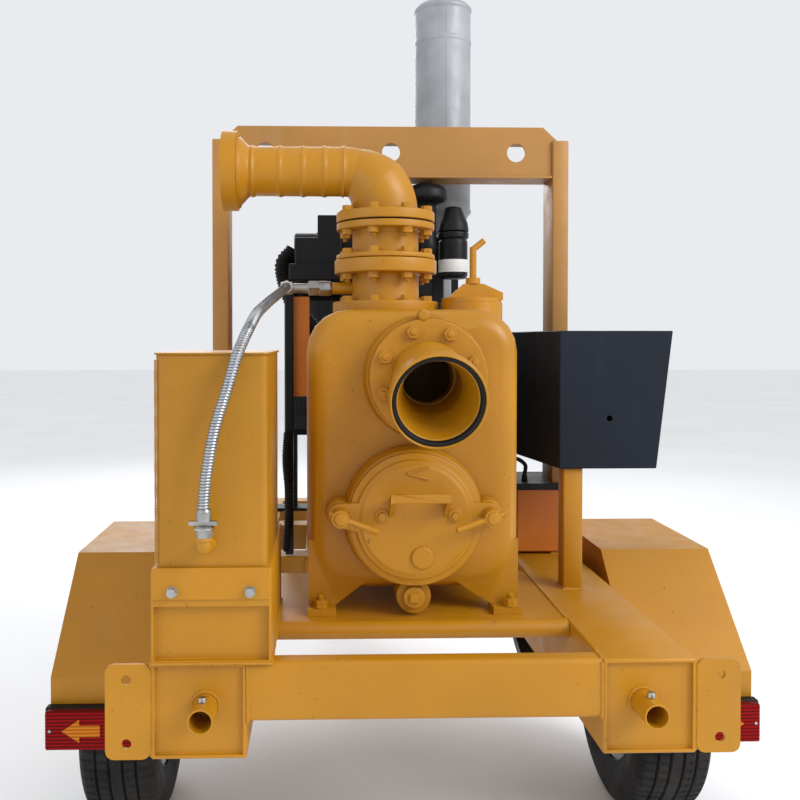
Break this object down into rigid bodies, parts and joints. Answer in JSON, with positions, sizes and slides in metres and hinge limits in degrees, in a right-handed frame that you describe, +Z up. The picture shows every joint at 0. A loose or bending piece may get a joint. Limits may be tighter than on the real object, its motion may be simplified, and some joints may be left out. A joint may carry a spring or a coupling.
{
  "type": "trailer trash pump",
  "caption": "Two-wheel trailer pump set: wet-prime trash pump with tilted suction cup, flared discharge, engine, tank and lifting arch.",
  "frame": {"origin": "centre of the overall footprint, on the ground", "axes": "+Y forward along the drawbar, away from the pump's suction; +X to the right seen from the rear; +Z up"},
  "size_m": [1.856, 3.125, 2.614],
  "materials": {
    "body_yellow": "semi-gloss machine enamel, orange-yellow",
    "arch_yellow": "semi-gloss enamel, paler where the light washes it",
    "black_paint": "satin black enamel",
    "engine_black": "satin black enamel on cast iron",
    "radiator_black": "satin black enamel on a finned core",
    "box_black": "fine-textured blue-black powder coat",
    "zinc_steel": "zinc plate",
    "cast_iron": "machined and raw iron",
    "wheel_silver": "silver wheel paint",
    "muffler_silver": "aluminised steel, light grey",
    "rubber": "matt black rubber",
    "tyre": "matt tread rubber",
    "red_lens": "moulded ribbed lens, red with an amber arrow",
    "panel_grey": "textured panel",
    "button_red": "moulded red",
    "fan_plastic": "moulded black",
    "braided_hose": "corrugated silver jacket over rubber"
  },
  "bodies": {
    "root": {"rail_left": "body_yellow", "rail_right": "body_yellow", "rear_crossbar": "body_yellow", "front_crossmember": "body_yellow", "pump_deck": "body_yellow", "engine_bed": "body_yellow", "drawbar": "body_yellow", "hitch_eye": "zinc_steel", "axle_beam": "black_paint", "leaf_spring_left": "black_paint", "leaf_spring_right": "black_paint", "mudguard_left": "body_yellow", "mudguard_right": "body_yellow", "tail_light_left": "red_lens", "tail_light_right": "red_lens", "corner_plate_left": "body_yellow", "corner_plate_right": "body_yellow", "socket_left": "body_yellow", "socket_right": "body_yellow", "arch_post_left": "arch_yellow", "arch_post_right": "arch_yellow", "lifting_beam": "arch_yellow", "tank_tray": "body_yellow", "water_tank": "body_yellow", "tank_lid": "body_yellow", "tank_elbow": "body_yellow", "bleed_hose": "braided_hose", "hose_fitting": "zinc_steel", "control_box": "box_black", "instrument_panel": "panel_grey", "box_post": "body_yellow", "pump_casing": "body_yellow", "suction_cup": "body_yellow", "suction_seal": "rubber", "bell_housing": "black_paint", "lower_spool": "body_yellow", "upper_spool": "body_yellow", "discharge_elbow": "body_yellow", "engine_block": "engine_black", "radiator": "radiator_black", "air_cleaner": "fan_plastic", "muffler": "muffler_silver"},
    "wheel_left": {"wheel_left": "wheel_silver", "tyre_left": "tyre"},
    "wheel_right": {"wheel_right": "wheel_silver", "tyre_right": "tyre"},
    "jack": {"jack_sleeve": "zinc_steel"},
    "jack_leg": {"jack_leg": "zinc_steel"},
    "jack_crank": {"jack_crank": "zinc_steel"},
    "key": {"key_switch": "zinc_steel"},
    "stop": {"stop_button": "button_red"},
    "cover": {"front_cover": "body_yellow"},
    "clamp_left": {"clamp_screw_left": "body_yellow"},
    "clamp_right": {"clamp_screw_right": "body_yellow"},
    "drain": {"drain_plug": "body_yellow"},
    "rotor": {"impeller_shaft": "cast_iron"},
    "fan": {"cooling_fan": "fan_plastic"},
    "flap": {"check_flap": "rubber"},
    "filler": {"filler_lid": "body_yellow"},
    "filler_screw": {"filler_clamp": "body_yellow"}
  },
  "joints": [
    {"name": "wheel_left_spin", "type": "hinge", "parent": "root", "child": "wheel_left", "pos_m": [-0.795, -0.5365, 0.33], "axis": [1, 0, 0], "continuous": true},
    {"name": "wheel_right_spin", "type": "hinge", "parent": "root", "child": "wheel_right", "pos_m": [0.795, -0.5365, 0.33], "axis": [1, 0, 0], "continuous": true},
    {"name": "jack_swing", "type": "hinge", "parent": "root", "child": "jack", "pos_m": [-0.15, 1.2025, 0.64], "axis": [1, 0, 0], "range_deg": [0, 90]},
    {"name": "jack_crank_turn", "type": "hinge", "parent": "jack", "child": "jack_crank", "pos_m": [-0.15, 1.2025, 0.8005], "axis": [0, 0, 1], "range_deg": [0, 7200]},
    {"name": "jack_extend", "type": "slide", "parent": "jack", "child": "jack_leg", "axis": [0, 0, -1], "range_m": [0, 0.2]},
    {"name": "key_turn", "type": "hinge", "parent": "root", "child": "key", "pos_m": [0.63812, -0.8385, 1.21497], "axis": [0.9933, 0, -0.1154], "range_deg": [0, 90]},
    {"name": "stop_press", "type": "slide", "parent": "root", "child": "stop", "axis": [-0.9933, 0, 0.1154], "range_m": [0, 0.005], "stiffness_N_per_m": 400},
    {"name": "cover_pull", "type": "slide", "parent": "root", "child": "cover", "axis": [0, -1, 0], "range_m": [0, 0.25]},
    {"name": "clamp_left_turn", "type": "hinge", "parent": "cover", "child": "clamp_left", "pos_m": [-0.174, -1.2695, 1.036], "axis": [0, -1, 0], "range_deg": [0, 1080]},
    {"name": "clamp_right_turn", "type": "hinge", "parent": "cover", "child": "clamp_right", "pos_m": [0.186, -1.2695, 1.036], "axis": [0, -1, 0], "range_deg": [0, 1080]},
    {"name": "drain_turn", "type": "hinge", "parent": "root", "child": "drain", "pos_m": [0.006, -1.1879, 0.832], "axis": [0, -1, 0], "range_deg": [0, 1080]},
    {"name": "shaft_spin", "type": "hinge", "parent": "root", "child": "rotor", "pos_m": [0, -1.0225, 1.13], "axis": [0, 1, 0], "continuous": true},
    {"name": "fan_spin", "type": "hinge", "parent": "root", "child": "fan", "pos_m": [0, -0.0272, 1.33], "axis": [0, 1, 0], "continuous": true},
    {"name": "flap_swing", "type": "hinge", "parent": "root", "child": "flap", "pos_m": [-0.039, -0.7855, 1.5655], "axis": [-1, 0, 0], "range_deg": [0, 34]},
    {"name": "filler_swing", "type": "hinge", "parent": "root", "child": "filler", "pos_m": [0.277, -0.9175, 1.5723], "axis": [0, 1, 0], "range_deg": [0, 110]},
    {"name": "filler_screw_turn", "type": "hinge", "parent": "filler", "child": "filler_screw", "pos_m": [0.196, -0.9155, 1.6086], "axis": [0, 0, 1], "range_deg": [0, 1080]}
  ],
  "couplings": [
    {"joint": "jack_extend", "follows": "jack_crank_turn", "m_per_rad": 0.0015915},
    {"joint": "fan_spin", "follows": "shaft_spin", "ratio": 1.2}
  ]
}
